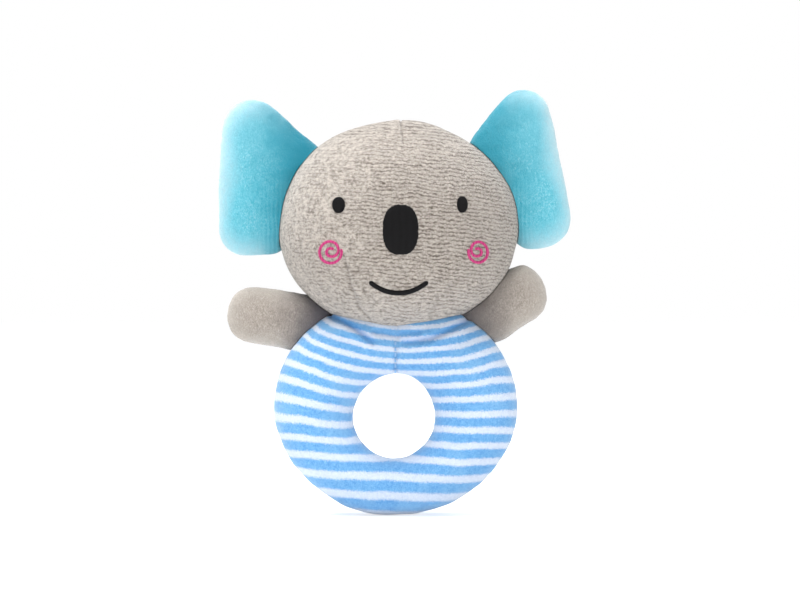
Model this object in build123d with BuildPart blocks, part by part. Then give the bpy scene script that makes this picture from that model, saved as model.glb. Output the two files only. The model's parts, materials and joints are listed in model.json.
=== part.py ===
"""Plush ring rattle: a stuffed striped ring with an animal head, two ears and two arms sewn to it.

The head holds a two-part plastic capsule whose beads rattle when the toy is shaken. Every stuffed
piece is a front and a back fabric panel over a fibre filling. The ears, the arms and the head are
sewn on along a seam that flexes, so each has a small gap there that lets it move.

Frame: +Z up, the face looks along -Y, and left and right are the viewer's. The origin is the
middle of the small flat that the ring stands on. Millimetres.
"""

from build123d import *
from math import cos, hypot, pi, radians, sin, sqrt
import os

os.makedirs("parts", exist_ok=True)

# Fabric, and the clearances between sewn pieces
FABRIC = 1.2
FIT = 0.05
THREAD = 0.8
NECK_GAP = 1.6
WEB = 3.0
EAR_GAP = 1.3
EAR_SHOULDER_GAP = 3.4
ARM_RING_GAP = 1.6
ARM_RING_SHOULDER_GAP = 3.9
ARM_HEAD_GAP = 2.4
ARM_HEAD_SHOULDER_GAP = 3.2

# Ring: an oval outline around a round hole that sits below its middle
RING_HALF_WIDTH = 45.7
RING_HALF_HEIGHT = 41.5
BASE_FLAT_DEPTH = 0.5
RING_CENTRE_Z = RING_HALF_HEIGHT - BASE_FLAT_DEPTH
HOLE_RADIUS = 15.8
HOLE_CENTRE_Z = 36.9
TUBE_DEPTH_SIDE = 13.0
TUBE_DEPTH_LOSS_BOTTOM = 2.0
TUBE_DEPTH_LOSS_TOP = 4.0
NECK_SQUEEZE = 5.6
NECK_SQUEEZE_FROM = 50.0
RING_SECTIONS = 8

# Stitches of the ring's join and of the neck patch
STITCH_WIDTH = 0.7
JOIN_STITCH = 1.3
JOIN_PITCH = 2.1
JOIN_LOW_Z = HOLE_CENTRE_Z + HOLE_RADIUS + 1.5
JOIN_HIGH_Z = 68.0
NECK_STITCHES = 16
NECK_PATCH_HALF = (20.0, 5.5)
NECK_PATCH_Z = 74.0
NECK_STITCH = (2.4, 24.0)

# Head: an ellipsoid a little behind the ring's middle plane, which makes it lie down on its back
HEAD_CENTRE = Vector(1.0, 1.5, 109.4)
HEAD_HALF = Vector(44.9, 33.5, 38.9)

# Closing stitches up the back of the head
CLOSING_STITCH = 2.6
CLOSING_PITCH = 2.8
CLOSING_COUNT = 9
CLOSING_MIDDLE_Z = 96.0

# Ears: the sharp corners of each outline from its root to its tip, with the radius at each corner
LEFT_EAR_OUTLINE = [(-20.0, 131.8), (-64.9, 168.9), (-67.4, 97.5), (-20.0, 98.1)]
LEFT_EAR_RADII = (11.4, 9.3)
RIGHT_EAR_OUTLINE = [(20.0, 131.1), (53.3, 172.1), (68.7, 102.0), (20.0, 98.0)]
RIGHT_EAR_RADII = (9.4, 11.6)
EAR_DEPTH = 10.0
EAR_EDGE_RADIUS = 4.6
EAR_PLANE_Y = 1.0

# Arms: a stub from a root between the head and the ring to a round tip
LEFT_ARM = ((-31.0, 71.8), (-52.9, 75.1))
RIGHT_ARM = ((27.5, 70.4), (45.9, 83.0))
ARM_RADIUS = 10.9
ARM_DEPTH = 14.0
ARM_EDGE_RADIUS = 6.4
ARM_PLANE_Y = 2.5

# Face embroidery: centre and half sizes as (x, z)
NOSE = (1.9, 106.2, 6.6, 9.2)
NOSE_CORNER = 6.2
LEFT_EYE = (-20.5, 115.3, 2.4, 3.0)
RIGHT_EYE = (24.2, 115.5, 2.0, 3.1)
MOUTH_MIDDLE = (1.2, 83.4)
MOUTH_RADIUS = 16.2
MOUTH_HALF_ANGLE = 42.5
MOUTH_WIDTH = 1.7
LEFT_CHEEK = (-23.8, 98.7, 4.2, 4.5)
RIGHT_CHEEK = (30.4, 98.8, 3.7, 4.3)
CHEEK_LINE = 1.0
CHEEK_TURNS = 1.95
CHEEK_END_ANGLE = 18.0
CHEEK_INNER_SHARE = 0.3
SPIRAL_POINTS_PER_TURN = 8

# Rattle capsule and its beads
CAPSULE_CENTRE = Vector(HEAD_CENTRE.X, HEAD_CENTRE.Y, 107.0)
CAPSULE_RADIUS = 13.0
CAPSULE_WALL = 1.4
CAPSULE_LIP = 1.6
BEAD_RADIUS = 2.2
BEAD_RING_RADIUS = 5.2
BEAD_GAP = 0.1
OUTER_BEADS = 4

FAR = 200.0


def save(part, name):
    """Names a finished piece and writes its STEP."""
    part.label = name
    export_step(part, f"parts/{name}.step")


# ---------------------------------------------------------------- basic forms


def ring_reach(angle):
    """Distance from the hole's centre to the ring's outline, in a direction above the +X axis."""
    c, s = cos(radians(angle)), sin(radians(angle))
    rise = RING_CENTRE_Z - HOLE_CENTRE_Z
    a = (c / RING_HALF_WIDTH) ** 2 + (s / RING_HALF_HEIGHT) ** 2
    b = -2 * s * rise / RING_HALF_HEIGHT**2
    d = (rise / RING_HALF_HEIGHT) ** 2 - 1
    reach = (-b + sqrt(b * b - 4 * a * d)) / (2 * a)
    squeeze = max(0.0, (angle - NECK_SQUEEZE_FROM) / (90 - NECK_SQUEEZE_FROM))
    return reach - NECK_SQUEEZE * squeeze**2


def tube_depth(angle):
    """Half the ring's front-to-back depth: full at the sides, less below and at the neck."""
    loss = TUBE_DEPTH_LOSS_TOP if angle > 0 else TUBE_DEPTH_LOSS_BOTTOM
    return TUBE_DEPTH_SIDE - loss * (angle / 90) ** 2


def ring_form(grow):
    """The padded ring with its skin moved out by grow: a loft up one side, mirrored."""
    with BuildPart() as form:
        for step in range(RING_SECTIONS + 1):
            angle = -90 + 180 * step / RING_SECTIONS
            c, s = cos(radians(angle)), sin(radians(angle))
            outer = ring_reach(angle)
            middle = (HOLE_RADIUS + outer) / 2
            across = Plane(
                origin=(middle * c, 0, HOLE_CENTRE_Z + middle * s),
                x_dir=(c, 0, s),
                z_dir=(-s, 0, c),
            )
            with BuildSketch(across):
                Ellipse((outer - HOLE_RADIUS) / 2 + grow, tube_depth(angle) + grow)
        loft()
        mirror(about=Plane.YZ)
    return form.part


def standing_ring(grow):
    """The ring cut flat where it stands."""
    with BuildPart() as form:
        add(ring_form(grow))
        split(bisect_by=Plane.XY, keep=Keep.TOP)
    return form.part


def head_form(grow):
    """The head's ellipsoid with its skin moved out by grow."""
    with BuildPart() as form:
        Sphere(1)
        scale(by=(HEAD_HALF.X + grow, HEAD_HALF.Y + grow, HEAD_HALF.Z + grow))
    return form.part.moved(Location(HEAD_CENTRE))


def padded_form(outline, depth, edge_radius, plane_y):
    """A flat stuffed shape: an outline in the XZ plane, given depth and rounded edges."""
    with BuildPart() as form:
        with BuildSketch(Plane.XZ.offset(-plane_y)):
            add(outline)
        extrude(amount=depth / 2, both=True)
        if edge_radius:
            fillet(form.edges().filter_by(Plane.XZ), edge_radius)
    return form.part


def front_and_back(outer, inner, name, plane_y):
    """Saves the skin between two solids as a front and a back panel that meet at plane_y."""
    for side, keep in (("front", Keep.TOP), ("back", Keep.BOTTOM)):
        with BuildPart() as panel:
            add(outer)
            add(inner, mode=Mode.SUBTRACT)
            split(bisect_by=Plane.XZ.offset(-plane_y), keep=keep)
        save(panel.part, f"{name}_{side}_panel")


def cut(solid, *tools):
    """A solid with other solids taken away."""
    with BuildPart() as rest:
        add(solid)
        for tool in tools:
            add(tool, mode=Mode.SUBTRACT)
    return rest.part


# ---------------------------------------------------------------- ring


def make_ring():
    """Front and back panels of striped fabric over a ring of filling."""
    front_and_back(standing_ring(0), ring_form(-FABRIC), "ring", 0)
    save(ring_form(-FABRIC - FIT), "ring_stuffing")


def make_ring_stitches():
    """The join of the ring's two ends: a row of short stitches down its front and back."""
    count = int((JOIN_HIGH_Z - JOIN_LOW_Z) / JOIN_PITCH)
    with BuildPart() as seam:
        with Locations(*[(0, 0, JOIN_LOW_Z + k * JOIN_PITCH) for k in range(count)]):
            Box(STITCH_WIDTH, FAR, JOIN_STITCH)
        add(ring_form(THREAD / 2), mode=Mode.INTERSECT)
        add(ring_form(FIT), mode=Mode.SUBTRACT)
    save(seam.part, "ring_join_stitches")


def make_neck_stitches():
    """Whip stitches on the ring, around the patch that the head is sewn down on."""
    half_x, half_y = NECK_PATCH_HALF
    with BuildPart() as seam:
        for k in range(NECK_STITCHES):
            turn = radians(360 * (k + 0.5) / NECK_STITCHES)
            place = (half_x * cos(turn), half_y * sin(turn), NECK_PATCH_Z)
            with Locations(Location(place, (0, 0, 90 * (k % 2) + 20))):
                Box(STITCH_WIDTH, *NECK_STITCH)
        add(ring_form(THREAD / 2), mode=Mode.INTERSECT)
        add(ring_form(FIT), mode=Mode.SUBTRACT)
    save(seam.part, "neck_stitches")


# ---------------------------------------------------------------- head


def make_head():
    """Front and back panels over a filling with a round nest for the capsule."""
    outer = cut(head_form(0), ring_form(NECK_GAP))
    inner = cut(head_form(-FABRIC), ring_form(NECK_GAP + FABRIC))
    front_and_back(outer, inner, "head", HEAD_CENTRE.Y)
    with BuildPart() as filling:
        add(head_form(-FABRIC - FIT))
        add(ring_form(NECK_GAP + FABRIC + FIT), mode=Mode.SUBTRACT)
        with Locations(CAPSULE_CENTRE):
            Sphere(CAPSULE_RADIUS + FIT, mode=Mode.SUBTRACT)
    save(filling.part, "head_stuffing")


def embroider(outline, name, front=True):
    """A raised patch of thread on the head: the outline in front view, wrapped on the skin."""
    with BuildPart() as patch:
        with BuildSketch(Plane.XZ.offset(-HEAD_CENTRE.Y)):
            add(outline)
        extrude(amount=FAR if front else -FAR)
        add(head_form(THREAD), mode=Mode.INTERSECT)
        add(head_form(FIT), mode=Mode.SUBTRACT)
    save(patch.part, name)


def make_features():
    """Nose, eyes, mouth and the two curled cheeks."""
    with BuildSketch() as nose:
        with Locations(NOSE[:2]):
            RectangleRounded(2 * NOSE[2], 2 * NOSE[3], NOSE_CORNER)
    embroider(nose.sketch, "nose_embroidery")

    for name, (x, z, half_x, half_z) in (("left_eye", LEFT_EYE), ("right_eye", RIGHT_EYE)):
        with BuildSketch() as eye:
            with Locations((x, z)):
                Ellipse(half_x, half_z)
        embroider(eye.sketch, f"{name}_embroidery")

    middle_x, middle_z = MOUTH_MIDDLE
    with BuildSketch() as mouth:
        with BuildLine():
            CenterArc(
                (middle_x, middle_z + MOUTH_RADIUS),
                MOUTH_RADIUS,
                270 - MOUTH_HALF_ANGLE,
                2 * MOUTH_HALF_ANGLE,
            )
        trace(line_width=MOUTH_WIDTH)
    embroider(mouth.sketch, "mouth_embroidery")

    for name, cheek, hand in (("left_cheek", LEFT_CHEEK, 1), ("right_cheek", RIGHT_CHEEK, -1)):
        embroider(curl(cheek, hand), f"{name}_embroidery")


def curl(cheek, hand):
    """A flat spiral line: a small inner turn that steps out to a nearly closed outer one."""
    x, z, half_x, half_z = cheek
    count = int(CHEEK_TURNS * SPIRAL_POINTS_PER_TURN)
    points = []
    for k in range(count + 1):
        t = k / count
        share = CHEEK_INNER_SHARE + (1 - CHEEK_INNER_SHARE) * t * t * (3 - 2 * t)
        turn = radians(CHEEK_END_ANGLE) - 2 * pi * CHEEK_TURNS * (1 - t)
        points.append((x + hand * share * half_x * cos(turn), z + share * half_z * sin(turn)))
    with BuildSketch() as line:
        with BuildLine():
            Spline(points)
        trace(line_width=CHEEK_LINE)
    return line.sketch


def make_closing_stitches():
    """Ladder stitches up the back of the head, where it was closed after filling."""
    with BuildSketch() as ladder:
        with Locations((HEAD_CENTRE.X, CLOSING_MIDDLE_Z)):
            with GridLocations(0, CLOSING_PITCH, 1, CLOSING_COUNT):
                Rectangle(CLOSING_STITCH, STITCH_WIDTH)
    embroider(ladder.sketch, "closing_stitches", front=False)


# ---------------------------------------------------------------- rattle capsule


def make_capsule():
    """Two cups that push together at a stepped lip, and the beads that lie in the lower one."""
    inside = CAPSULE_RADIUS - CAPSULE_WALL
    step_radius = CAPSULE_RADIUS - CAPSULE_WALL / 2
    with BuildPart() as lower:
        Sphere(CAPSULE_RADIUS)
        split(bisect_by=Plane.XY, keep=Keep.BOTTOM)
        with Locations((0, 0, CAPSULE_LIP / 2 - FIT)):
            Cylinder(step_radius - FIT, CAPSULE_LIP)
        Sphere(inside, mode=Mode.SUBTRACT)
    save(lower.part.moved(Location(CAPSULE_CENTRE)), "capsule_lower_cup")

    with BuildPart() as upper:
        Sphere(CAPSULE_RADIUS)
        split(bisect_by=Plane.XY.offset(FIT), keep=Keep.TOP)
        with Locations((0, 0, CAPSULE_LIP / 2)):
            Cylinder(step_radius, CAPSULE_LIP, mode=Mode.SUBTRACT)
        Sphere(inside, mode=Mode.SUBTRACT)
    save(upper.part.moved(Location(CAPSULE_CENTRE)), "capsule_upper_cup")


def bead_places():
    """Each bead's centre at the bottom of the capsule, and how far it can fly up."""
    reach = CAPSULE_RADIUS - CAPSULE_WALL - BEAD_RADIUS - BEAD_GAP
    places = [(0.0, 0.0)]
    for k in range(OUTER_BEADS):
        turn = radians(360 * k / OUTER_BEADS)
        places.append((BEAD_RING_RADIUS * cos(turn), BEAD_RING_RADIUS * sin(turn)))
    return [(x, y, -sqrt(reach**2 - hypot(x, y) ** 2)) for x, y in places]


def make_beads():
    """Loose steel beads."""
    for number, place in enumerate(bead_places(), start=1):
        with BuildPart() as bead:
            with Locations(CAPSULE_CENTRE + Vector(*place)):
                Sphere(BEAD_RADIUS)
        save(bead.part, f"rattle_bead_{number}")


# ---------------------------------------------------------------- ears and arms


def ear_outline(corners, radii, shrink):
    """Four corners joined by straight edges, with the two outer corners rounded."""
    with BuildSketch() as outline:
        with BuildLine():
            Polyline(*corners, close=True)
        make_face()
        for corner, radius in zip(corners[1:3], radii):
            fillet(outline.vertices().sort_by_distance(corner)[0], radius)
        if shrink:
            offset(amount=-shrink, kind=Kind.INTERSECTION)
    return outline.sketch


def arm_outline(root, tip, shrink):
    """A stub with round ends between two points."""
    with BuildSketch() as outline:
        with BuildLine():
            Line(root, tip)
        trace(line_width=2 * (ARM_RADIUS - shrink))
        for end in (root, tip):
            with Locations(end):
                Circle(ARM_RADIUS - shrink)
    return outline.sketch


def make_limb(name, outline_at, depth, edge_radius, plane_y, neighbours):
    """A stuffed limb with a thin sewn web at its root, which lets it swing on the seam.

    neighbours lists each form beside it, with the gap of the web and of the padded part.
    """

    def form(shrink):
        outline = outline_at(shrink)
        pad = padded_form(outline, depth - 2 * shrink, edge_radius - shrink, plane_y)
        web = padded_form(outline, WEB, 0, plane_y)
        with BuildPart() as limb:
            add(cut(pad, *[solid(gap + shrink) for solid, _, gap in neighbours]))
            if not shrink:
                add(cut(web, *[solid(gap) for solid, gap, _ in neighbours]))
        return limb.part

    front_and_back(form(0), form(FABRIC), name, plane_y)
    save(form(FABRIC + FIT), f"{name}_stuffing")


def make_ears():
    """Two ears on the sides of the head, the right one a little taller and slimmer."""
    for name, corners, radii in (
        ("left_ear", LEFT_EAR_OUTLINE, LEFT_EAR_RADII),
        ("right_ear", RIGHT_EAR_OUTLINE, RIGHT_EAR_RADII),
    ):
        make_limb(
            name,
            lambda shrink: ear_outline(corners, radii, shrink),
            EAR_DEPTH,
            EAR_EDGE_RADIUS,
            EAR_PLANE_Y,
            [(head_form, EAR_GAP, EAR_SHOULDER_GAP)],
        )


def make_arms():
    """Two arms in the corners between the head and the ring, the right one raised."""
    for name, (root, tip) in (("left_arm", LEFT_ARM), ("right_arm", RIGHT_ARM)):
        make_limb(
            name,
            lambda shrink: arm_outline(root, tip, shrink),
            ARM_DEPTH,
            ARM_EDGE_RADIUS,
            ARM_PLANE_Y,
            [
                (ring_form, ARM_RING_GAP, ARM_RING_SHOULDER_GAP),
                (head_form, ARM_HEAD_GAP, ARM_HEAD_SHOULDER_GAP),
            ],
        )


make_ring()
make_ring_stitches()
make_neck_stitches()
make_head()
make_features()
make_closing_stitches()
make_capsule()
make_beads()
make_ears()
make_arms()
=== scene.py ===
"""Looks of the plush ring rattle: stuffed covers, embroidery, threads, fabrics, light and camera."""

import json
from math import cos, pi, radians, sin, sqrt

import bpy
import numpy as np
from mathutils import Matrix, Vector, noise
from mathutils.bvhtree import BVHTree


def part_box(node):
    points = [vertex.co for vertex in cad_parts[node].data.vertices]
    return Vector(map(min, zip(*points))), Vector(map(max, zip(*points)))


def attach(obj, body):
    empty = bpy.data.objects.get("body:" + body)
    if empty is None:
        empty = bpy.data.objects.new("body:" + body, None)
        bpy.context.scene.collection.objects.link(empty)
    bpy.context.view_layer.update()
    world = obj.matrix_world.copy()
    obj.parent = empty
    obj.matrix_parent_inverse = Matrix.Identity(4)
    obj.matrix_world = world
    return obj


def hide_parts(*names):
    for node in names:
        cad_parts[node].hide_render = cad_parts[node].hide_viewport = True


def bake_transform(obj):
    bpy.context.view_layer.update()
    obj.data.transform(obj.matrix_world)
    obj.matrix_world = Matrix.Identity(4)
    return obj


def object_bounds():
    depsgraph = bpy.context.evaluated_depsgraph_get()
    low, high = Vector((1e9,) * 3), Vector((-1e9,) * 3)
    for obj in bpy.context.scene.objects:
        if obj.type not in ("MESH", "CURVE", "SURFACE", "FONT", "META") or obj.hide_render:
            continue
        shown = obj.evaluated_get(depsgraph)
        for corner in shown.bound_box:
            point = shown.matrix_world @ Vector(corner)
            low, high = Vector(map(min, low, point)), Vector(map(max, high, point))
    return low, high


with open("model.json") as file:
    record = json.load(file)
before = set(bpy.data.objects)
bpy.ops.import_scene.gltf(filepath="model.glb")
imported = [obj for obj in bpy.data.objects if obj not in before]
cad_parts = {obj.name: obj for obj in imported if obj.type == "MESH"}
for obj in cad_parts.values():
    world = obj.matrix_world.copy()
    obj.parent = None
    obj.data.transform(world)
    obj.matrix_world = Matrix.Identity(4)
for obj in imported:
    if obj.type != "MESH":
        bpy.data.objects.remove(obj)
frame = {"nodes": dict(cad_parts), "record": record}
cad_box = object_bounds()

MM = 0.001
SIDES = ("left", "right")


# ---------------------------------------------------------------- places, all from the CAD frame


def node_box(*names):
    """The box around several CAD nodes, as two arrays in metres."""
    boxes = [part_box(name) for name in names]
    low = np.min([np.array(low) for low, _ in boxes], axis=0)
    high = np.max([np.array(high) for _, high in boxes], axis=0)
    return low, high


def tree_of(*names):
    """A ray and distance tree over several CAD nodes."""
    points, faces = [], []
    for name in names:
        mesh = frame["nodes"][name].data
        first = len(points)
        points += [v.co.copy() for v in mesh.vertices]
        faces += [[first + i for i in p.vertices] for p in mesh.polygons]
    return BVHTree.FromPolygons(points, faces)


def panels(part):
    return f"{part}_front_panel", f"{part}_back_panel"


def covered(part):
    return (*panels(part), f"{part}_stuffing")


HEAD_LOW, HEAD_HIGH = node_box(*panels("head"))
HEAD_HALF = np.array([(HEAD_HIGH[0] - HEAD_LOW[0]) / 2, (HEAD_HIGH[1] - HEAD_LOW[1]) / 2, 38.9 * MM])
HEAD_MID = np.array(
    [(HEAD_HIGH[0] + HEAD_LOW[0]) / 2, (HEAD_HIGH[1] + HEAD_LOW[1]) / 2, HEAD_HIGH[2] - HEAD_HALF[2]]
)
HOLE_MID = np.array(frame["record"]["mounts"][1]["pos_m"])
RING_TREE = tree_of(*panels("ring"))
HEAD_TREE = tree_of(*panels("head"))


def joint_place(name):
    """A hinge's point and unit axis."""
    joint = next(j for j in frame["record"]["behaviour"]["joints"] if j["name"] == name)
    axis = np.array(joint["axis"], float)
    return np.array(joint["pos_m"], float), axis / np.linalg.norm(axis)


# ---------------------------------------------------------------- meshes


def link(name, points, faces):
    mesh = bpy.data.meshes.new(name)
    mesh.from_pydata([tuple(p) for p in points], [], faces)
    mesh.update()
    piece = bpy.data.objects.new(name, mesh)
    bpy.context.scene.collection.objects.link(piece)
    return piece


def ball(name, place, around, down):
    """A closed grid with two poles: place(turn, fall) gives a point, fall from 0 to pi."""
    points = [place(0.0, 0.0)]
    for row in range(1, down):
        points += [place(2 * pi * k / around, pi * row / down) for k in range(around)]
    points.append(place(0.0, pi))
    last = len(points) - 1
    faces = [[0, 1 + k, 1 + (k + 1) % around] for k in range(around)]
    for row in range(down - 2):
        a, b = 1 + row * around, 1 + (row + 1) * around
        for k in range(around):
            n = (k + 1) % around
            faces.append([a + k, b + k, b + n, a + n])
    a = 1 + (down - 2) * around
    faces += [[a + (k + 1) % around, a + k, last] for k in range(around)]
    return link(name, points, faces)


def coords(piece):
    flat = np.empty(len(piece.data.vertices) * 3)
    piece.data.vertices.foreach_get("co", flat)
    return flat.reshape(-1, 3)


def set_coords(piece, points):
    piece.data.vertices.foreach_set("co", np.asarray(points, float).ravel())
    piece.data.update()


def normals(piece):
    flat = np.empty(len(piece.data.vertices) * 3, dtype=np.float32)
    piece.data.vertex_normals.foreach_get("vector", flat)
    return flat.reshape(-1, 3).astype(float)


def apply_modifiers(piece):
    graph = bpy.context.evaluated_depsgraph_get()
    mesh = bpy.data.meshes.new_from_object(piece.evaluated_get(graph))
    piece.modifiers.clear()
    piece.data = mesh


def subdivide(piece, levels=1):
    piece.modifiers.new("Subdivision", "SUBSURF").levels = levels
    apply_modifiers(piece)


def smooth_shaded(piece):
    piece.data.shade_smooth()


def outward(piece):
    """Turns the faces outward if the grid came out inside out."""
    mesh = piece.data
    volume = 0.0
    points = coords(piece)
    for p in mesh.polygons:
        v = [points[i] for i in p.vertices]
        for k in range(1, len(v) - 1):
            volume += float(np.dot(v[0], np.cross(v[k], v[k + 1])))
    if volume < 0:
        mesh.flip_normals()


def stuff(piece, pressure, cap, held=None):
    """Fills a cover by cloth simulation: it swells under pressure, and no point moves past cap."""
    start = coords(piece)
    cloth = piece.modifiers.new("Stuffing", "CLOTH")
    s = cloth.settings
    s.quality, s.mass, s.air_damping = 6, 0.2, 2.0
    s.tension_stiffness = s.compression_stiffness = 8.0
    s.shear_stiffness, s.bending_stiffness = 4.0, 0.2
    s.use_pressure, s.uniform_pressure_force = True, pressure
    s.effector_weights.gravity = 0.0
    cloth.collision_settings.use_collision = False
    if held is not None:
        group = piece.vertex_groups.new(name="held")
        group.add([int(i) for i in np.nonzero(held)[0]], 1.0, "REPLACE")
        s.vertex_group_mass = "held"
    scene = bpy.context.scene
    scene.frame_start, scene.frame_end = 1, 20
    cloth.point_cache.frame_start, cloth.point_cache.frame_end = 1, 20
    for step in range(1, 21):
        scene.frame_set(step)
    apply_modifiers(piece)
    scene.frame_set(1)
    moved = coords(piece) - start
    far = np.linalg.norm(moved, axis=1, keepdims=True)
    set_coords(piece, start + moved * np.minimum(1, cap / np.maximum(far, 1e-9)))
    piece.vertex_groups.clear()


def uneven(points, scale, amount, seed):
    """Smooth lumps of loose filling, as one height for each point."""
    shift = Vector((seed * 3.1, seed * 1.7, seed * 2.3))
    return np.array([noise.noise(Vector(p) / scale + shift) for p in points]) * amount


def line_dip(points, path, width, depth, front=None):
    """A groove along a path of (x, z) points, as a height, on the points where front is true."""
    flat = points[:, [0, 2]]
    near = np.full(len(points), 1e9)
    for a, b in zip(path[:-1], path[1:]):
        a, b = np.array(a) * MM, np.array(b) * MM
        t = np.clip(((flat - a) @ (b - a)) / ((b - a) @ (b - a)), 0, 1)
        near = np.minimum(near, np.linalg.norm(flat - (a + t[:, None] * (b - a)), axis=1))
    dip = -depth * MM * np.exp(-((near / (width * MM)) ** 2))
    return dip if front is None else np.where(front, dip, 0)


def mark(piece, name, values):
    """Keeps a number from 0 to 1 on each point, where the fabric's colour gets painted shade or a painted
    highlight.
    """
    attribute = piece.data.attributes.new(name, "FLOAT", "POINT")
    attribute.data.foreach_set("value", np.clip(values, 0, 1).astype(np.float32))


def clear_of(points, tree, gap, reach=0.03):
    """Moves the points that lie inside a closed CAD form, or nearer than gap, out to gap."""
    out = points.copy()
    for i, p in enumerate(points):
        hit, normal = tree.find_nearest(Vector(p), reach)[:2]
        if hit is None:
            continue
        side = (Vector(p) - hit).dot(normal)
        if side < gap:
            out[i] = np.array(hit + normal * gap)
    return out


# ---------------------------------------------------------------- node materials


class Nodes:
    """Short names for building a procedural material."""

    def __init__(self, name, roughness=0.9, sheen=0.0, sheen_tint=(1, 1, 1), specular=0.2):
        self.material = bpy.data.materials.new(name)
        self.material.use_nodes = True
        self.tree = self.material.node_tree
        self.shader = self.tree.nodes["Principled BSDF"]
        self.shader.inputs["Roughness"].default_value = roughness
        self.shader.inputs["Specular IOR Level"].default_value = specular
        self.shader.inputs["Sheen Weight"].default_value = sheen
        self.shader.inputs["Sheen Roughness"].default_value = 0.45
        self.shader.inputs["Sheen Tint"].default_value = (*sheen_tint, 1)
        self.place = self.tree.nodes.new("ShaderNodeTexCoord").outputs["Object"]

    def join(self, value, socket):
        if hasattr(value, "links") or isinstance(value, bpy.types.NodeSocket):
            self.tree.links.new(value, socket)
        else:
            socket.default_value = value

    def math(self, operation, a, b=0.0, c=0.0, clamp=False):
        node = self.tree.nodes.new("ShaderNodeMath")
        node.operation, node.use_clamp = operation, clamp
        for value, socket in zip((a, b, c), node.inputs):
            self.join(value, socket)
        return node.outputs[0]

    def scaled(self, stretch, source=None):
        node = self.tree.nodes.new("ShaderNodeVectorMath")
        node.operation = "MULTIPLY"
        self.join(source or self.place, node.inputs[0])
        node.inputs[1].default_value = stretch
        return node.outputs[0]

    def xyz(self, source=None):
        node = self.tree.nodes.new("ShaderNodeSeparateXYZ")
        self.join(source or self.place, node.inputs[0])
        return node.outputs

    def noise(self, size_mm, detail=2.0, rough=0.55, stretch=(1, 1, 1), source=None):
        """Noise of about that grain size, from 0 to 1."""
        node = self.tree.nodes.new("ShaderNodeTexNoise")
        self.join(self.scaled(stretch, source), node.inputs["Vector"])
        node.inputs["Scale"].default_value = 1 / (size_mm * MM)
        node.inputs["Detail"].default_value = detail
        node.inputs["Roughness"].default_value = rough
        return node.outputs["Fac"]

    def ramp(self, value, low, high, to_low=0.0, to_high=1.0, smooth=True):
        node = self.tree.nodes.new("ShaderNodeMapRange")
        node.interpolation_type = "SMOOTHSTEP" if smooth else "LINEAR"
        self.join(value, node.inputs["Value"])
        for key, number in (
            ("From Min", low), ("From Max", high), ("To Min", to_low), ("To Max", to_high),
        ):
            node.inputs[key].default_value = number
        return node.outputs["Result"]

    def mix(self, share, a, b):
        node = self.tree.nodes.new("ShaderNodeMix")
        node.data_type = "RGBA"
        self.join(share, node.inputs[0])
        for value, socket in ((a, node.inputs[6]), (b, node.inputs[7])):
            self.join(value if not isinstance(value, tuple) else (*value, 1), socket)
        return node.outputs[2]

    def marked(self, name):
        node = self.tree.nodes.new("ShaderNodeAttribute")
        node.attribute_name = name
        return node.outputs["Fac"]

    def finish(self, colour, height=None, depth_mm=0.2, strength=1.0):
        self.join(colour, self.shader.inputs["Base Color"])
        if height is not None:
            bump = self.tree.nodes.new("ShaderNodeBump")
            bump.inputs["Strength"].default_value = strength
            bump.inputs["Distance"].default_value = depth_mm * MM
            self.join(height, bump.inputs["Height"])
            self.join(bump.outputs[0], self.shader.inputs["Normal"])
        return self.material


def knit_plush():
    """Warm grey knit: broken, wavy rows of small loops, matted and mottled on one side, with painted shade
    in the grooves and along the darts and folds.
    """
    n = Nodes("knit plush", 0.95, 0.5, (1.0, 0.97, 0.94), 0.1)
    x, _, z = n.xyz()
    wander = n.math("MULTIPLY", n.math("SUBTRACT", n.noise(11, 2), 0.5), 2.2)
    shake = n.math("MULTIPLY", n.math("SUBTRACT", n.noise(1.5, 2, 0.6, (0.8, 0.8, 1)), 0.5), 1.3)
    slope = n.math("MULTIPLY", n.math("SUBTRACT", x, 5 * MM), 55.0)
    row = n.math("ADD", n.math("DIVIDE", z, 1.38 * MM), n.math("ADD", n.math("ADD", wander, shake), slope))
    wave = n.math("ABSOLUTE", n.math("SINE", n.math("MULTIPLY", row, pi)))
    ridge = n.math("POWER", wave, 0.6)
    bridged = n.ramp(n.noise(1.5, 2, 0.5, (0.75, 0.75, 1.3)), 0.42, 0.6)
    loops = n.noise(0.8, 2, 0.6, (0.8, 0.8, 1.2))
    fluff = n.noise(0.36, 3, 0.7)
    matted = n.ramp(n.math("ADD", n.noise(14, 2), n.math("MULTIPLY", x, -7.0)), 0.35, 0.8)
    clear = n.math("MULTIPLY", n.math("SUBTRACT", 1.0, n.math("MULTIPLY", matted, 0.75)),
                   n.math("SUBTRACT", 1.0, n.math("MULTIPLY", bridged, 0.55)))
    groove = n.math("MULTIPLY", n.math("SUBTRACT", 1.0, ridge), clear)
    height = n.math("SUBTRACT", n.math("MULTIPLY", loops, 0.9), n.math("MULTIPLY", groove, 0.8))
    height = n.math("ADD", height, n.math("MULTIPLY", fluff, 1.15))
    clumps = n.math("MULTIPLY", n.math("SUBTRACT", n.noise(1.7, 3, 0.65), 0.5), n.math("ADD", matted, 0.25))
    height = n.math("ADD", height, n.math("MULTIPLY", clumps, 1.3))
    # The tone follows the loops' height: partly the yarn's own mottling, partly painted shade that darkens
    # the grooves between rows.
    shade = n.ramp(height, 0.55, 1.22, smooth=False)
    colour = n.mix(shade, (0.13, 0.103, 0.082), (0.58, 0.522, 0.462))
    patches = n.ramp(n.noise(6, 3), 0.35, 0.7)
    colour = n.mix(n.math("MULTIPLY", patches, 0.2), colour, (0.5, 0.455, 0.41))
    # Painted shade along the darts and folds, from the crease depth kept on the head.
    colour = n.mix(n.math("MULTIPLY", n.marked("crease"), 0.5), colour, (0.14, 0.115, 0.095))
    return n.finish(colour, height, 0.6, 0.8)


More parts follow.
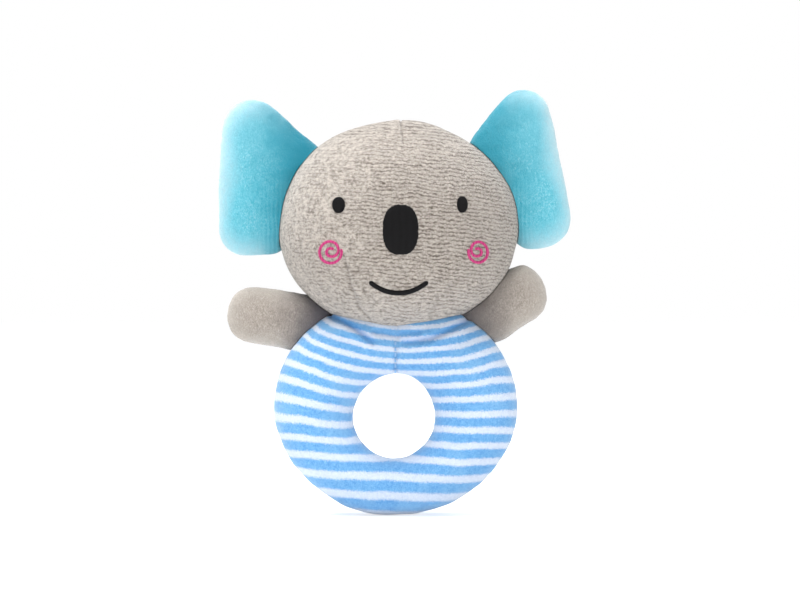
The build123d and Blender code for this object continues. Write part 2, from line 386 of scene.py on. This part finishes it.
def velour(name, root_shade_colour, deep, mid, light, nap, sheen_tint, root, sheen, rim_highlight_share, folds=None):
    """Short soft pile, brushed in one direction, with painted shade towards its root, a painted highlight
    along its rim and painted light on the ear tops.
    """
    n = Nodes(name, 0.9, sheen, sheen_tint, 0.12)
    x = n.math("ABSOLUTE", n.xyz()[0])
    fibre = n.noise(0.4, 3, 0.65, nap)
    tuft = n.noise(1.1, 3, 0.6, nap)
    patch = n.noise(9, 3, 0.5)
    height = n.math("ADD", n.math("MULTIPLY", fibre, 0.8), n.math("MULTIPLY", tuft, 0.5))
    if folds is not None:
        height = n.math("ADD", height, folds(n))
    colour = n.mix(n.ramp(height, 0.4, 0.9, smooth=False), deep, mid)
    # Painted shade towards the root, where the part meets the head or ring: the pile is mixed towards its
    # deep tone.
    out = n.ramp(n.math("ADD", x, n.math("MULTIPLY", patch, 14 * MM)), root[0], root[1])
    colour = n.mix(n.math("MULTIPLY", n.math("SUBTRACT", 1.0, out), 0.75), colour, deep)
    # Painted highlight: the pile is lightened towards its outline, as a rim of light.
    rim_light_reach = n.math("ADD", n.marked("edge"), n.math("MULTIPLY", n.math("SUBTRACT", tuft, 0.5), 0.5))
    rim = n.math("POWER", n.ramp(rim_light_reach, -0.05, 1.0, 1.0, 0.0, smooth=False), 1.6)
    # Painted light from above: the pile grows lighter high up, on the ear tops.
    rim = n.math("ADD", rim, n.ramp(n.xyz()[2], 118 * MM, 158 * MM, 0.0, 0.2))
    speckled = n.math("MULTIPLY", n.ramp(patch, 0.3, 0.8, 0.3, 1.0), n.ramp(fibre, 0.45, 0.75))
    # pale holds the pile's random light speckles and the painted rim highlight.
    pale = n.math("MAXIMUM", n.math("MULTIPLY", speckled, 0.45), n.math("MULTIPLY", rim, rim_highlight_share))
    colour = n.mix(n.math("MULTIPLY", pale, out), colour, light)
    # More painted shade at the root, stronger on the left side, in the root shade colour.
    from_root = n.math("ADD", x, n.math("MULTIPLY", patch, 8 * MM))
    near_root = n.ramp(from_root, root[2], root[1], 1.0, 0.0)
    shaded = n.math("MULTIPLY", near_root, n.ramp(n.xyz()[0], -MM, MM, 0.95, 0.6))
    colour = n.mix(shaded, colour, root_shade_colour)
    return n.finish(colour, height, 0.5, 0.7)


def ear_ribs(n):
    """Fine upright ribs where the ear's fabric is gathered at its root."""
    x, _, z = n.xyz()
    wander = n.math("MULTIPLY", n.noise(6, 2), 5.0)
    beside = n.math("ABSOLUTE", x)
    rib = n.math("SINE", n.math("ADD", n.math("MULTIPLY", beside, 2 * pi / (1.6 * MM)), wander))
    near = n.ramp(beside, 43 * MM, 54 * MM, 1.0, 0.0)
    low = n.ramp(z, 108 * MM, 134 * MM, 1.0, 0.0)
    return n.math("MULTIPLY", n.math("MULTIPLY", rib, 0.2), n.math("MULTIPLY", near, low))


def striped_velour():
    """Light-blue velour with white stripes that dip towards the join above the hole, and painted shade in
    the folds under the chin.
    """
    n = Nodes("striped velour", 0.9, 0.5, (0.93, 0.97, 1.0), 0.12)
    x, _, z = n.xyz()
    lean = n.math("MULTIPLY", x, n.math("ADD", n.math("MULTIPLY", z, 0.7), 0.025))
    across = n.math("POWER", n.math("DIVIDE", x, 36 * MM), 2.0)
    across = n.math("MINIMUM", across, n.math("ADD", n.math("MULTIPLY", across, 0.3), 0.7))
    lift = n.math("MULTIPLY", n.math("MAXIMUM", n.math("SUBTRACT", z, 32 * MM), 0.0), 0.2)
    bow = n.math("MULTIPLY", n.math("ADD", lift, 0.5 * MM), across)
    wander = n.math("MULTIPLY", n.math("SUBTRACT", n.noise(13, 1), 0.5), 1.5 * MM)
    fray = n.math("MULTIPLY", n.math("SUBTRACT", n.noise(0.55, 3, 0.7), 0.5), 2.2 * MM)
    level = n.math("ADD", n.math("SUBTRACT", n.math("ADD", z, lean), bow), n.math("ADD", wander, fray))
    above = n.math("SUBTRACT", level, 8.2 * MM)
    curve = n.math("MULTIPLY", n.math("MULTIPLY", above, n.math("SUBTRACT", level, 33.4 * MM)), 859.0)
    count = n.math("ADD", n.math("MULTIPLY", above, 158.7), curve)
    wave = n.math("COSINE", n.math("MULTIPLY", count, 2 * pi))
    white = n.ramp(wave, -0.3, 0.8)
    pile = n.noise(0.4, 3, 0.65)
    tuft = n.noise(1.4, 3, 0.6)
    height = n.math("ADD", n.math("MULTIPLY", pile, 0.7), n.math("MULTIPLY", tuft, 0.4))
    tone = n.ramp(height, 0.35, 0.75, smooth=False)
    blue = n.mix(tone, (0.07, 0.25, 0.58), (0.22, 0.49, 0.76))
    blue = n.mix(n.math("MULTIPLY", n.ramp(n.noise(13, 2), 0.45, 0.75), 0.3), blue, (0.3, 0.53, 0.72))
    pale = n.mix(tone, (0.5, 0.58, 0.72), (0.7, 0.76, 0.86))
    # Painted shade in the folds under the chin, from the crease depth kept on the ring, laid over the
    # stripes.
    colour = n.mix(n.math("MULTIPLY", n.marked("crease"), 0.5), n.mix(white, blue, pale), (0.06, 0.24, 0.62))
    return n.finish(colour, height, 0.45, 0.6)


def thread(name, deep, light, along, pitch_mm=0.42):
    """Satin stitches side by side, each with a soft gloss."""
    n = Nodes(name, 0.55, 0.0, specular=0.12)
    x, _, z = n.xyz()
    travel = {"x": x, "z": z}[along]
    wander = n.math("MULTIPLY", n.noise(1.4, 2), 1.6)
    wave = n.math("SINE", n.math("ADD", n.math("MULTIPLY", travel, 2 * pi / (pitch_mm * MM)), wander))
    height = n.math("ADD", n.math("MULTIPLY", wave, 0.5), n.noise(0.22, 2))
    return n.finish(n.mix(n.ramp(height, -0.1, 1.2), deep, light), height, 0.22, 0.8)


def loose_fibre():
    """White polyester fibre."""
    n = Nodes("fibre filling", 0.95, 0.3)
    height = n.noise(0.9, 4, 0.7, (1, 1, 0.4))
    return n.finish(n.mix(height, (0.74, 0.74, 0.72), (0.92, 0.92, 0.9)), height, 0.8)


def moulded_plastic():
    n = Nodes("milky plastic", 0.28, 0, specular=0.5)
    flow = n.noise(6, 2, 0.5, (1, 1, 3))
    return n.finish(n.mix(flow, (0.78, 0.8, 0.8), (0.9, 0.91, 0.9)), n.noise(0.5, 2), 0.03, 0.4)


def polished_steel():
    n = Nodes("bead steel", 0.24, 0, specular=0.5)
    n.shader.inputs["Metallic"].default_value = 1.0
    rub = n.noise(0.6, 3, 0.6, (1, 1, 4))
    return n.finish(n.mix(rub, (0.5, 0.5, 0.52), (0.72, 0.72, 0.74)), rub, 0.02, 0.5)


KNIT = knit_plush()
AQUA = velour(
    "aqua velour", (0.008, 0.19, 0.27), (0.04, 0.34, 0.44), (0.19, 0.57, 0.67), (0.58, 0.72, 0.755),
    (1.1, 1, 0.6), (0.95, 1.0, 1.0), (40 * MM, 66 * MM, 34 * MM), 0.7, 0.7, ear_ribs,
)
GREY = velour(
    "warm grey velour", (0.05, 0.05, 0.07), (0.2, 0.17, 0.145), (0.46, 0.41, 0.36), (0.6, 0.555, 0.5),
    (1.1, 1, 0.6), (1.0, 0.98, 0.95), (33 * MM, 54 * MM, 24 * MM), 0.6, 0.4,
)
STRIPES = striped_velour()
BLACK = thread("black thread", (0.002, 0.002, 0.002), (0.013, 0.012, 0.013), "x")
PINK = thread("pink thread", (0.3, 0.012, 0.09), (0.85, 0.12, 0.34), "x", 0.55)
BLUE_THREAD = thread("light blue thread", (0.2, 0.42, 0.74), (0.45, 0.66, 0.9), "z")
GREY_THREAD = thread("warm grey thread", (0.26, 0.22, 0.19), (0.48, 0.43, 0.38), "x")
FIBRE, PLASTIC, STEEL = loose_fibre(), moulded_plastic(), polished_steel()


def dress(piece, material, slot):
    piece.data.materials.clear()
    piece.data.materials.append(material)
    smooth_shaded(piece)
    return piece


# ---------------------------------------------------------------- ring


def make_ring():
    """The striped ring cover, resting on its small flat, with its join and the folds under the chin."""
    around, across = 132, 40
    mid = HOLE_MID
    points = []
    for i in range(around):
        turn = 2 * pi * (i + 0.5) / around
        out = Vector((cos(turn), 0, sin(turn)))
        far = Vector(mid) + out * 0.09
        outer = (RING_TREE.ray_cast(far, -out)[0] - Vector(mid)).length
        inner = (RING_TREE.ray_cast(Vector(mid), out)[0] - Vector(mid)).length
        middle, half = (outer + inner) / 2, (outer - inner) / 2
        centre = Vector(mid) + out * middle
        front = RING_TREE.ray_cast(centre + Vector((0, -0.05, 0)), Vector((0, 1, 0)))[0]
        depth = abs(front.y)
        for j in range(across):
            a = 2 * pi * j / across
            points.append(centre + out * (half * cos(a)) + Vector((0, -depth * sin(a), 0)))
    faces = []
    for i in range(around):
        for j in range(across):
            n, m = (i + 1) % around, (j + 1) % across
            faces.append([i * across + j, n * across + j, n * across + m, i * across + m])
    ring = link("ring_cover", points, faces)
    outward(ring)
    stuff(ring, 3.0, 0.7 * MM)
    subdivide(ring, 2)
    p, n = coords(ring), normals(ring)
    front = p[:, 1] < 0
    height = uneven(p, 16 * MM, 0.5 * MM, 1) + uneven(p, 5 * MM, 0.18 * MM, 2)
    height -= 0.5 * MM * np.exp(-((p[:, 1] / (0.7 * MM)) ** 2))
    height += line_dip(p, [(0.4, 80), (0.6, 62), (0.2, 52)], 0.6, 0.35)
    chin_fold = [(-24, 75.0), (-19, 73.0), (-14.5, 70.4), (-11, 67.4), (-8.5, 65.5)]
    creases = line_dip(p, chin_fold, 1.1, 0.9, front=front)
    creases += line_dip(p, [(27, 73.5), (20, 70), (13, 66.8), (7, 65.6), (3, 65.2)], 1.2, 0.7, front=front)
    creases += line_dip(p, [(-8, 69.4), (0, 68.0), (9, 69.0)], 1.2, 0.5, front=front)
    height -= line_dip(p, [(-22, 71.5), (-14, 67.5), (-9, 63.5)], 1.6, 0.5, front=front)
    height -= line_dip(p, [(25, 70), (13, 64.0), (5, 62.8)], 1.6, 0.4, front=front)
    p = p + n * (height + creases)[:, None]
    around_hole = p[:, ::2] - HOLE_MID[::2]
    reach = np.linalg.norm(around_hole, axis=1)
    wall = np.clip(1 - (reach - 15 * MM) / (9 * MM), 0, 1)
    p[:, 0] -= 1.1 * MM * wall * np.clip(around_hole[:, 0] / np.maximum(reach, 1e-6) + 0.2, 0, 1)
    p[:, 2] += 0.3 * MM * wall
    away = around_hole / np.maximum(reach, 1e-6)[:, None]
    corner = np.clip(-away[:, 1], 0, 1) * np.abs(away[:, 0]) * np.clip((reach - 24 * MM) / (10 * MM), 0, 1)
    p[:, ::2] -= away * (0.9 * MM * corner)[:, None]
    # The crease depth, kept for painted shade in the folds under the chin.
    mark(ring, "crease", -creases / (0.8 * MM))
    p[:, 2] = np.maximum(p[:, 2], 0)
    set_coords(ring, p)
    dress(ring, STRIPES, "ring_fabric")
    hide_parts(*covered("ring"))
    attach(ring, "ring")
    return ring


# ---------------------------------------------------------------- head


def head_place(turn, fall):
    """A point on the stuffed head: an ellipsoid that is a little fuller low down."""
    rise = cos(fall)
    wide = sin(fall) * (1 + 0.085 * max(0.0, -rise) ** 1.2)
    drop = rise * (1.02 if rise < 0 else 1)
    return HEAD_MID + HEAD_HALF * np.array([wide * cos(turn), wide * sin(turn), drop])


TOP_DART = [(2.0, 149), (2.1, 146), (2.5, 142), (2.9, 138.5)]
LEFT_DART = [(-18.0, 95), (-16.3, 86.5), (-14.0, 78), (-9.5, 73.2)]


def make_head(ring_tree):
    head = ball("head_cover", head_place, 100, 50)
    outward(head)
    stuff(head, 3.0, 0.5 * MM)
    subdivide(head, 2)
    p, n = coords(head), normals(head)
    front = p[:, 1] < HEAD_MID[1]
    height = uneven(p, 24 * MM, 0.9 * MM, 3) + uneven(p, 8 * MM, 0.25 * MM, 4)
    height -= 0.65 * MM * np.exp(-(((p[:, 1] - HEAD_MID[1]) / (0.9 * MM)) ** 2))
    creases = line_dip(p, TOP_DART, 0.35, 0.7, front=front)
    creases += line_dip(p, LEFT_DART, 0.5, 0.6, front=front)
    creases += line_dip(p, [(22.6, 88.5), (18.8, 84.5)], 0.9, 0.3, front=front)
    creases += line_dip(p, [(15.5, 82.0), (13.2, 74.2)], 0.8, 0.4, front=front)
    creases += line_dip(p, [(-25, 84), (-21, 76.5)], 0.9, 0.3, front=front)
    height -= line_dip(p, [(0.4, 147), (1.0, 139)], 1.6, 0.3, front=front)
    height -= line_dip(p, [(-15.6, 94), (-14.0, 86), (-11.4, 79)], 1.8, 0.5, front=front)
    p = p + n * (height + creases)[:, None]
    # The crease depth, kept for painted shade along the darts and folds.
    mark(head, "crease", -creases / (0.8 * MM))
    low = p[:, 2] < 0.085
    p[low] = clear_of(p[low], ring_tree, 0.4 * MM)
    set_coords(head, p)
    dress(head, KNIT, "head_fabric")
    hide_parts(*covered("head"))
    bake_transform(head)
    return head


# ---------------------------------------------------------------- ears and arms


def make_limb(part, parent, joint, material, slot_name, square, head_tree, ring_tree):
    """A stuffed ear or arm, drawn out to its CAD outline and sewn flush to what it hangs on."""
    low, high = node_box(*panels(part))
    tree = tree_of(*panels(part))
    point, axis = joint_place(joint)
    plane = float(point[1])
    centre = Vector(((low[0] + high[0]) / 2, plane, (low[2] + high[2]) / 2))
    half_depth = (high[1] - low[1]) / 2
    away = np.cross(axis, (0, 1, 0))
    away *= np.sign(np.dot(np.array(centre) - point, away)) or 1
    steps = 96
    rim = []
    for k in range(steps):
        turn = 2 * pi * k / steps
        out = Vector((cos(turn), 0, sin(turn)))
        hit = tree.ray_cast(centre + out * 0.09, -out)[0]
        to_head, to_ring = (form.find_nearest(hit)[3] for form in (HEAD_TREE, RING_TREE))
        if min(to_head, to_ring) < 2.9 * MM:
            if parent == "head":
                rise = max(0.0, hit.z - HEAD_MID[2]) * -1
            else:
                rise = (54 if to_ring < to_head else 78) * MM - hit.z
            hit = hit + Vector((-hit.x, 0, rise)).normalized() * 6.5 * MM
        else:
            hit = hit + out * (0.1 if part.startswith("left") else 0.6) * MM
        rim.append(np.array(hit))
    rim = np.array(rim)
    rim[:, 1] = plane
    rim = (np.roll(rim, 1, 0) + 2 * rim + np.roll(rim, -1, 0)) / 4
    middle = np.array(centre)

    def place(turn, fall):
        k = round(turn / (2 * pi) * steps) % steps
        share = sin(fall) ** 0.9
        thick = half_depth * (1 - share**square) ** 0.5 * (1 if fall > pi / 2 else -1)
        return middle + share * (rim[k] - middle) + np.array([0, thick, 0])

    limb = ball(f"{part}_cover", place, steps, 28)
    outward(limb)
    stuff(limb, 3.5, 0.9 * MM, np.abs(coords(limb)[:, 1] - plane) < 0.3 * MM)
    subdivide(limb, 2)
    p, n = coords(limb), normals(limb)
    flat = p[:, ::2] - middle[::2]
    edge = rim[:, ::2] - middle[::2]
    turns = np.mod(np.arctan2(edge[:, 1], edge[:, 0]), 2 * pi)
    order = np.argsort(turns)
    reach = np.interp(
        np.mod(np.arctan2(flat[:, 1], flat[:, 0]), 2 * pi),
        turns[order], np.linalg.norm(edge, axis=1)[order], period=2 * pi,
    )
    # How far in from the outline each point lies, kept for the painted rim highlight.
    mark(limb, "edge", (reach - np.linalg.norm(flat, axis=1)) / (11 * MM))
    height = uneven(p, 13 * MM, 0.8 * MM, len(part)) + uneven(p, 3 * MM, 0.16 * MM, 7)
    height += uneven(p, 0.9 * MM, 0.07 * MM, 8)
    height -= 0.55 * MM * np.exp(-(((p[:, 1] - plane) / (0.6 * MM)) ** 2))
    p = p + n * height[:, None]
    p = clear_of(p, head_tree, 0.25 * MM)
    if parent == "ring":
        p = clear_of(p, ring_tree, 0.25 * MM)
    set_coords(limb, p)
    dress(limb, material, slot_name)
    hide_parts(*covered(part))
    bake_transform(limb)
    return limb


# ---------------------------------------------------------------- embroidery


def on_skin(tree, x, z, lift, back=False):
    """The point on the head's skin in front of (x, z), lifted off it."""
    side = 1 if back else -1
    hit, normal, _, _ = tree.ray_cast(Vector((x, side * 0.1, z)), Vector((0, -side, 0)))
    return hit + normal * lift


def patch(name, node, corner, tree, material, slot_name):
    """A raised satin patch that fills the node's outline, with stitch ends that stick out unevenly."""
    low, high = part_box(node)
    mid_x, mid_z = (low[0] + high[0]) / 2, (low[2] + high[2]) / 2
    half_x, half_z = (high[0] - low[0]) / 2, (high[2] - low[2]) / 2
    around, rows = 120, 16
    points = [on_skin(tree, mid_x, mid_z, 0.75 * MM)]
    for row in range(1, rows + 1):
        share = row / rows
        lift = 0.75 * MM * sqrt(max(0.0, 1 - share**7)) - (0.25 * MM if row == rows else 0)
        for k in range(around):
            turn = 2 * pi * k / around
            c, s = cos(turn), sin(turn)
            size = (abs(c / half_x) ** corner + abs(s / half_z) ** corner) ** (-1 / corner)
            ragged = 1 + 0.035 * share**4 * noise.noise(Vector((k * 0.9, mid_x * 100, mid_z * 100)))
            r = share * size * ragged
            points.append(on_skin(tree, mid_x + r * c, mid_z + r * s, lift))
    faces = [[0, 1 + k, 1 + (k + 1) % around] for k in range(around)]
    for row in range(rows - 1):
        a, b = 1 + row * around, 1 + (row + 1) * around
        faces += [[a + k, b + k, b + (k + 1) % around, a + (k + 1) % around] for k in range(around)]
    a = 1 + (rows - 1) * around
    bottom = len(points)
    points.append(on_skin(tree, mid_x, mid_z, -0.6 * MM))
    faces += [[a + (k + 1) % around, a + k, bottom] for k in range(around)]
    piece = link(name, points, faces)
    outward(piece)
    dress(piece, material, slot_name)
    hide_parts(node)
    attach(piece, "head")
    return piece


def corded(name, path, width, lift, tree, stitch, material, slot_name, node, body, back=False, lobes=0.22):
    """A line of stitches laid on the skin along a path of (x, z), each stitch a small swelling."""
    path = [np.array(p) for p in path]
    length = [0.0]
    for a, b in zip(path[:-1], path[1:]):
        length.append(length[-1] + float(np.linalg.norm(b - a)))
    count = max(8, int(length[-1] / (0.16 * MM)))
    sides, points = 10, []
    for i in range(count + 1):
        s = length[-1] * i / count
        k = min(max(0, int(np.searchsorted(length, s)) - 1), len(path) - 2)
        t = (s - length[k]) / max(1e-9, length[k + 1] - length[k])
        spot = path[k] * (1 - t) + path[k + 1] * t
        ahead = path[k + 1] - path[k]
        ahead = ahead / np.linalg.norm(ahead)
        cross = Vector((-ahead[1], 0, ahead[0]))
        end = min(1.0, sqrt(max(0.0, min(s, length[-1] - s)) / (width / 2)) + 0.05)
        swell = 1 - lobes + lobes * abs(sin(pi * s / stitch)) ** 0.6
        for j in range(sides):
            a = 2 * pi * j / sides
            side = cross * (width / 2 * cos(a) * swell * end)
            height = lift * (sin(a) * swell * end * 0.9 + 0.1)
            base = on_skin(tree, spot[0] + side.x, spot[1] + side.z, height, back)
            points.append(base)
    faces = []
    for i in range(count):
        for j in range(sides):
            m = (j + 1) % sides
            faces.append([i * sides + j, i * sides + m, (i + 1) * sides + m, (i + 1) * sides + j])
    faces.append(list(range(sides)))
    faces.append([count * sides + j for j in reversed(range(sides))])
    piece = link(name, points, faces)
    outward(piece)
    dress(piece, material, slot_name)
    if node:
        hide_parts(node)
    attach(piece, body)
    return piece


def curl_path(node, hand):
    """A small inner turn that steps out to a nearly closed outer one, inside a node's box."""
    low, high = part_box(node)
    mid = np.array([(low[0] + high[0]) / 2, (low[2] + high[2]) / 2])
    half = np.array([(high[0] - low[0]) / 2, (high[2] - low[2]) / 2]) - 0.4 * MM
    turns, end, inner, path = 1.95, radians(18), 0.36, []
    for k in range(90):
        t = k / 89
        step = min(1.0, max(0.0, (t - 0.3) / 0.32))
        share = inner + (1 - inner) * step * step * (3 - 2 * step)
        turn = end - 2 * pi * turns * (1 - t)
        path.append(mid + half * share * np.array([hand * cos(turn), sin(turn)]))
    return path


def make_face(head_tree):
    patch("nose", "nose_embroidery", 2.5, head_tree, BLACK, "face_thread")
    for side in SIDES:
        patch(f"{side}_eye", f"{side}_eye_embroidery", 2.2, head_tree, BLACK, "face_thread")
    low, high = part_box("mouth_embroidery")
    half, sag = (high[0] - low[0]) / 2 - 0.9 * MM, (high[2] - low[2]) - 1.6 * MM
    mid = (low[0] + high[0]) / 2
    smile = [(mid + half * t, low[2] + 0.9 * MM + sag * abs(t) ** 2.1) for t in np.linspace(-1, 1, 40)]
    corded(
        "mouth", smile, 1.8 * MM, 0.7 * MM, head_tree, 0.5 * MM,
        BLACK, "face_thread", "mouth_embroidery", "head", lobes=0.1,
    )
    for side, hand in (("left", 1), ("right", -1)):
        node = f"{side}_cheek_embroidery"
        path = curl_path(node, hand)
        corded(
            f"{side}_cheek", path, 1.15 * MM, 0.55 * MM, head_tree, 0.95 * MM,
            PINK, "cheek_thread", node, "head", lobes=0.4,
        )


def make_closing_stitches(head_tree):
    """Ladder stitches up the back of the head, as one thread that crosses the seam and back."""
    low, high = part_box("closing_stitches")
    steps = 18
    path = []
    for k in range(steps + 1):
        side = (high[0] - low[0]) / 2 * (0.8 if k % 2 else -0.8)
        path.append(((low[0] + high[0]) / 2 + side, low[2] + (high[2] - low[2]) * k / steps))
    corded(
        "closing_thread", path, 0.7 * MM, 0.4 * MM, head_tree, 0.9 * MM, GREY_THREAD, "head_thread",
        "closing_stitches", "head", back=True, lobes=0.2,
    )


# ---------------------------------------------------------------- what stays as in CAD


def dress_inside():
    for name, piece in frame["nodes"].items():
        material = None
        if "capsule" in name:
            material = PLASTIC
        elif "bead" in name:
            material = STEEL
        elif "stuffing" in name:
            material = FIBRE
        elif name in ("ring_join_stitches", "neck_stitches"):
            material = BLUE_THREAD
        if material is not None:
            piece.data.materials.clear()
            piece.data.materials.append(material)


# ---------------------------------------------------------------- studio


def make_studio():
    """A plain pale floor, a white surround, soft light from the upper left, and the camera."""
    n = Nodes("pale floor", 0.9, 0, specular=0.1)
    n.finish(n.mix(n.noise(400, 1), (0.93, 0.93, 0.93), (0.95, 0.95, 0.95)))
    side = 6.0
    corners = [(-side, -side, 0), (side, -side, 0), (side, side, 0), (-side, side, 0)]
    floor = link("floor", corners, [[0, 1, 2, 3]])
    glow, both = (n.tree.nodes.new(f"ShaderNode{kind}") for kind in ("Emission", "AddShader"))
    rays = n.tree.nodes.new("ShaderNodeLightPath")
    n.join(n.math("MULTIPLY_ADD", rays.outputs["Is Camera Ray"], 0.45, 0.12), glow.inputs["Strength"])
    n.join(n.shader.outputs[0], both.inputs[0])
    n.join(glow.outputs[0], both.inputs[1])
    n.join(both.outputs[0], n.tree.nodes["Material Output"].inputs["Surface"])
    floor.data.materials.append(n.material)

    world = bpy.data.worlds.new("surround")
    bpy.context.scene.world = world
    world.use_nodes = True
    tree = world.node_tree
    light, seen = tree.nodes["Background"], tree.nodes.new("ShaderNodeBackground")
    light.inputs[0].default_value, light.inputs[1].default_value = (0.93, 0.96, 1.0, 1), 0.5
    seen.inputs[0].default_value, seen.inputs[1].default_value = (1, 1, 1, 1), 1.0
    rays, mix = tree.nodes.new("ShaderNodeLightPath"), tree.nodes.new("ShaderNodeMixShader")
    tree.links.new(rays.outputs["Is Camera Ray"], mix.inputs[0])
    tree.links.new(light.outputs[0], mix.inputs[1])
    tree.links.new(seen.outputs[0], mix.inputs[2])
    tree.links.new(mix.outputs[0], tree.nodes["World Output"].inputs[0])

    low, high = (np.array(v) for v in cad_box)
    middle = (low + high) / 2
    for name, spot, size, power in (
        ("key", (-0.2, -0.45, 1.0), 0.6, 8.4),
        ("fill", (0.6, -0.9, 0.3), 0.9, 2.2),
        ("top", (-0.25, 0.12, 0.95), 0.6, 8.5),
    ):
        lamp = bpy.data.lights.new(name, "AREA")
        lamp.shape, lamp.size, lamp.energy = "DISK", size, power
        item = bpy.data.objects.new(name, lamp)
        item.location = spot
        item.rotation_euler = (Vector(middle) - Vector(spot)).to_track_quat("-Z", "Y").to_euler()
        bpy.context.scene.collection.objects.link(item)

    camera = bpy.data.objects.new("camera", bpy.data.cameras.new("camera"))
    camera.data.lens, camera.data.sensor_width = 85, 36
    wide = 0.3012
    camera.location = (1.7 * MM, -wide * 85 / 36, 80.9 * MM)
    camera.rotation_euler = (radians(90), 0, 0)
    camera.data.clip_start = 0.01
    bpy.context.scene.collection.objects.link(camera)
    bpy.context.scene.camera = camera
    bpy.context.scene.view_settings.view_transform = "Standard"


def piece_tree(piece):
    points = [v.co.copy() for v in piece.data.vertices]
    return BVHTree.FromPolygons(points, [tuple(p.vertices) for p in piece.data.polygons])


make_studio()
dress_inside()
ring_cover = make_ring()
ring_surface = piece_tree(ring_cover)
head_cover = make_head(ring_surface)
head_surface = piece_tree(head_cover)
for side in SIDES:
    ear, arm = f"{side}_ear", f"{side}_arm"
    make_limb(ear, "head", f"{ear}_fold", AQUA, "ear_fabric", 3.2, head_surface, ring_surface)
    make_limb(arm, "ring", f"{arm}_swing", GREY, "arm_fabric", 2.3, head_surface, ring_surface)
make_face(head_surface)
make_closing_stitches(head_surface)
